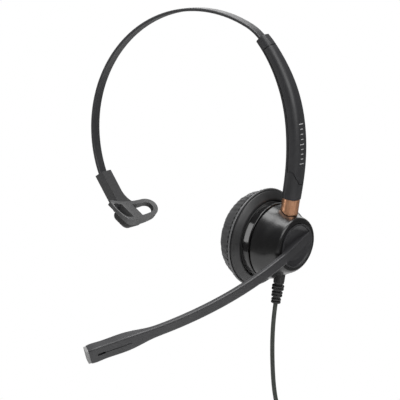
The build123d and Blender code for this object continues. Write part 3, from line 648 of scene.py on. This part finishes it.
def add_piping(looks):
    """Piped seam round the cushion, slightly gathered; its light grey is a painted highlight along the
    lit edge of the seam.
    """
    rings = []
    for j in range(PIPING_AROUND):
        angle = TAU * j / PIPING_AROUND
        gather = PIPING_GATHER * math.sin(angle * GATHERS)
        ring = []
        for k in range(PIPING_POINTS):
            turn = TAU * k / PIPING_POINTS
            r = PIPING_RADIUS + (PIPING_HALF[0] + gather) * math.cos(turn)
            z = PIPING_DEPTH + (PIPING_HALF[1] + gather) * math.sin(turn)
            ring.append(cup_point(r, angle, z))
        rings.append(ring)
    piping = rings_mesh("cushion_piping", rings, looks["piping_painted_highlight"], closed=True)
    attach(piping, "cup")


def add_stitches(looks):
    """Row of stitches beside the piping, each a short bowed thread, made near black to paint the shade in
    the stitch holes.
    """
    vertices, faces = [], []
    for j in range(STITCHES):
        middle = TAU * (j + 0.5) / STITCHES
        faces += skin_faces(len(vertices), STITCH_RINGS, STITCH_POINTS)
        for step in range(STITCH_RINGS):
            t = step / (STITCH_RINGS - 1)
            angle = middle - STITCH_HALF_ANGLE + 2 * STITCH_HALF_ANGLE * t
            lift = STITCH_LIFT * math.sin(math.pi * t)
            for k in range(STITCH_POINTS):
                turn = TAU * k / STITCH_POINTS
                r = STITCH_RADIUS + lift + STITCH_HALF[0] * math.cos(turn)
                z = STITCH_DEPTH + STITCH_HALF[1] * math.sin(turn)
                vertices.append(cup_point(r, angle, z))
    thread = add_mesh("cushion_stitches", vertices, faces, looks["stitch_thread_and_hole_shade"])
    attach(thread, "cup")


# ---------------------------------------------------------------- strain relief
RELIEF_TOP, RELIEF_END = -21.6, -34.5
RELIEF_RADIUS, RELIEF_TAPER = 2.35, 0.45                   # at the top, and how much thinner at the end
FLANGE_HEIGHT, FLANGE_RADIUS = 1.2, 3.05
RIB_PAIRS = [(-25.3, 3.45), (-29.2, 3.1), (-33.1, 2.75)]   # height of each pair's middle, radius
RIB_THICK, RIB_GAP = 1.05, 0.55
WEB_STEP = 0.15                      # the webs stand this much inside the ribs
WEB_SINE = 0.93                      # the webs are where the sine of the angle passes this
EDGE_BEVEL = 0.12
RELIEF_AROUND = 72


def relief_radius(height, angle):
    """Radius of the ribbed sleeve: pairs of discs, joined by two webs across the slot between them."""
    if height > RELIEF_TOP - FLANGE_HEIGHT:
        return FLANGE_RADIUS
    for middle, rib in RIB_PAIRS:
        off = abs(height - middle)
        if RIB_GAP / 2 < off < RIB_GAP / 2 + RIB_THICK:
            return rib
        if off <= RIB_GAP / 2 and abs(math.sin(angle + middle)) > WEB_SINE:
            return rib - WEB_STEP
    way_down = (RELIEF_TOP - height) / (RELIEF_TOP - RELIEF_END)
    return RELIEF_RADIUS - RELIEF_TAPER * way_down


def relief_edges():
    """Heights at which the sleeve's radius steps, from the top down."""
    edges = {RELIEF_TOP, RELIEF_TOP - FLANGE_HEIGHT, RELIEF_END}
    for middle, _ in RIB_PAIRS:
        for off in (RIB_GAP / 2, RIB_GAP / 2 + RIB_THICK):
            edges |= {middle - off, middle + off}
    return sorted(edges, reverse=True)


def relief_heights(edges):
    """Heights of the sleeve's rings: two close to each edge and one midway."""
    heights = [edges[0]]
    for upper, lower in zip(edges, edges[1:]):
        heights += [upper - 0.02, upper - 0.16, (upper + lower) / 2, lower + 0.16, lower + 0.02]
    heights.append(edges[-1])
    return [h for i, h in enumerate(heights) if i == 0 or h < heights[i - 1] - 0.005]


def add_strain_relief(looks):
    """Slotted rubber sleeve that tapers from the cup's boss to the cable."""
    axis = Vector((math.sin(CUFF_LEAN), 0, math.cos(CUFF_LEAN)))
    across = Vector((math.cos(CUFF_LEAN), 0, -math.sin(CUFF_LEAN)))
    side = axis.cross(across)
    edges = relief_edges()
    rings = []
    for height in relief_heights(edges):
        bevel = EDGE_BEVEL if any(abs(height - edge) < 0.05 for edge in edges) else 0.0
        ring = []
        for j in range(RELIEF_AROUND):
            angle = TAU * j / RELIEF_AROUND
            radius = relief_radius(height, angle) - bevel
            spot = axis * height + across * radius * math.cos(angle) + side * radius * math.sin(angle)
            ring.append(CUP_CENTRE + spot * MM)
        rings.append(ring)
    sleeve = rings_mesh("relief_sleeve", rings, looks["rubber_black"], smooth=False)
    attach(sleeve, "cup")
    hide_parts("strain_relief")


# ---------------------------------------------------------------- arm marks
MARKS, FIRST_MARK, MARK_STEP = 9, 52.0, 2.7                # count, and places down the arm
LONG_HALF, SHORT_HALF, LONG_EVERY = 1.9, 1.2, 4
MARK_HALF_WIDTH = 0.22
MARK_SHIFT = -1.5                    # the scale's middle, towards the front
MARK_PROUD, MARK_SUNK = 0.03, 0.05   # over and under the arm's surface
MARK_COLUMNS = 7
PROBE_HEIGHT = 12.0                  # a ray starts this far off the arm's centre line


def arm_spot(s, across, along_y):
    """Point on the arm: distance down it, height off its centre line, and place front to back."""
    arc_length = math.radians(90 - ARM_TOP_ANGLE) * ARM_RADIUS
    if s <= arc_length:
        angle = math.radians(ARM_TOP_ANGLE) + s / ARM_RADIUS
        x = ARM_CENTRE[0] + (ARM_RADIUS + across) * math.sin(angle)
        z = ARM_CENTRE[1] + (ARM_RADIUS + across) * math.cos(angle)
    else:
        x = ARM_CENTRE[0] + ARM_RADIUS + across
        z = ARM_CENTRE[1] - (s - arc_length)
    return Vector((x, along_y, z)) * MM


def surface_height(node, s, along_y):
    """How far the node's outer surface stands off the arm's centre line there, in mm."""
    origin = arm_spot(s, PROBE_HEIGHT, along_y)
    target = arm_spot(s, 0.0, along_y)
    hit, place, _, _ = node.ray_cast(origin, (target - origin).normalized())
    return (PROBE_HEIGHT - (place - origin).length / MM) if hit else None


def mark_vertices(cover, s, half):
    """Two rows of points over the arm's surface, then two under it."""
    vertices = []
    for lift in (MARK_PROUD, -MARK_SUNK):
        for row in (-MARK_HALF_WIDTH, MARK_HALF_WIDTH):
            for c in range(MARK_COLUMNS):
                y = MARK_SHIFT - half + 2 * half * c / (MARK_COLUMNS - 1)
                vertices.append(arm_spot(s + row, surface_height(cover, s + row, y) + lift, y))
    return vertices


def mark_faces(first):
    """Closed thin box over one mark's points."""
    faces = []
    under = 2 * MARK_COLUMNS
    for c in range(MARK_COLUMNS - 1):
        a, b = first + c, first + MARK_COLUMNS + c
        faces.append((a, a + 1, b + 1, b))
        faces.append((a + under, b + under, b + under + 1, a + under + 1))
        faces.append((a, a + under, a + under + 1, a + 1))
        faces.append((b, b + 1, b + under + 1, b + under))
    for c in (0, MARK_COLUMNS - 1):
        a, b = first + c, first + MARK_COLUMNS + c
        faces.append((a, b, b + under, a + under))
    return faces


def add_height_marks():
    """Plain height scale printed on the arm's outer shell."""
    cover = frame["nodes"]["arm_cover"]
    mat, nodes, links, shader = new_material("print_grey")
    tint(nodes, links, shader, (0.42, 0.42, 0.42), (0.5, 0.5, 0.5), 2500.0)
    shader.inputs["Roughness"].default_value = 0.55
    vertices, faces = [], []
    for index in range(MARKS):
        half = LONG_HALF if index % LONG_EVERY == 0 else SHORT_HALF
        faces += mark_faces(len(vertices))
        vertices += mark_vertices(cover, FIRST_MARK + index * MARK_STEP, half)
    marks = add_mesh("height_marks", vertices, faces, mat, smooth=False)
    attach(marks, "arm")


# ---------------------------------------------------------------- dressing of the CAD nodes
FINER_LOOKS = {"cup_bezel": "bezel_gloss"}


def dress_nodes(looks):
    """Gives every CAD node the material of its slot."""
    slots = {entry["node"]: entry["material_slot"] for entry in frame["record"]["subparts"]}
    for name, obj in frame["nodes"].items():
        obj.data.materials.clear()
        obj.data.materials.append(looks[FINER_LOOKS.get(name, slots[name])])


def main():
    add_camera()
    looks = make_materials()
    add_cable(looks)
    add_stage()
    dress_nodes(looks)
    add_cushion(looks)
    add_piping(looks)
    add_stitches(looks)
    add_strain_relief(looks)
    add_height_marks()


main()
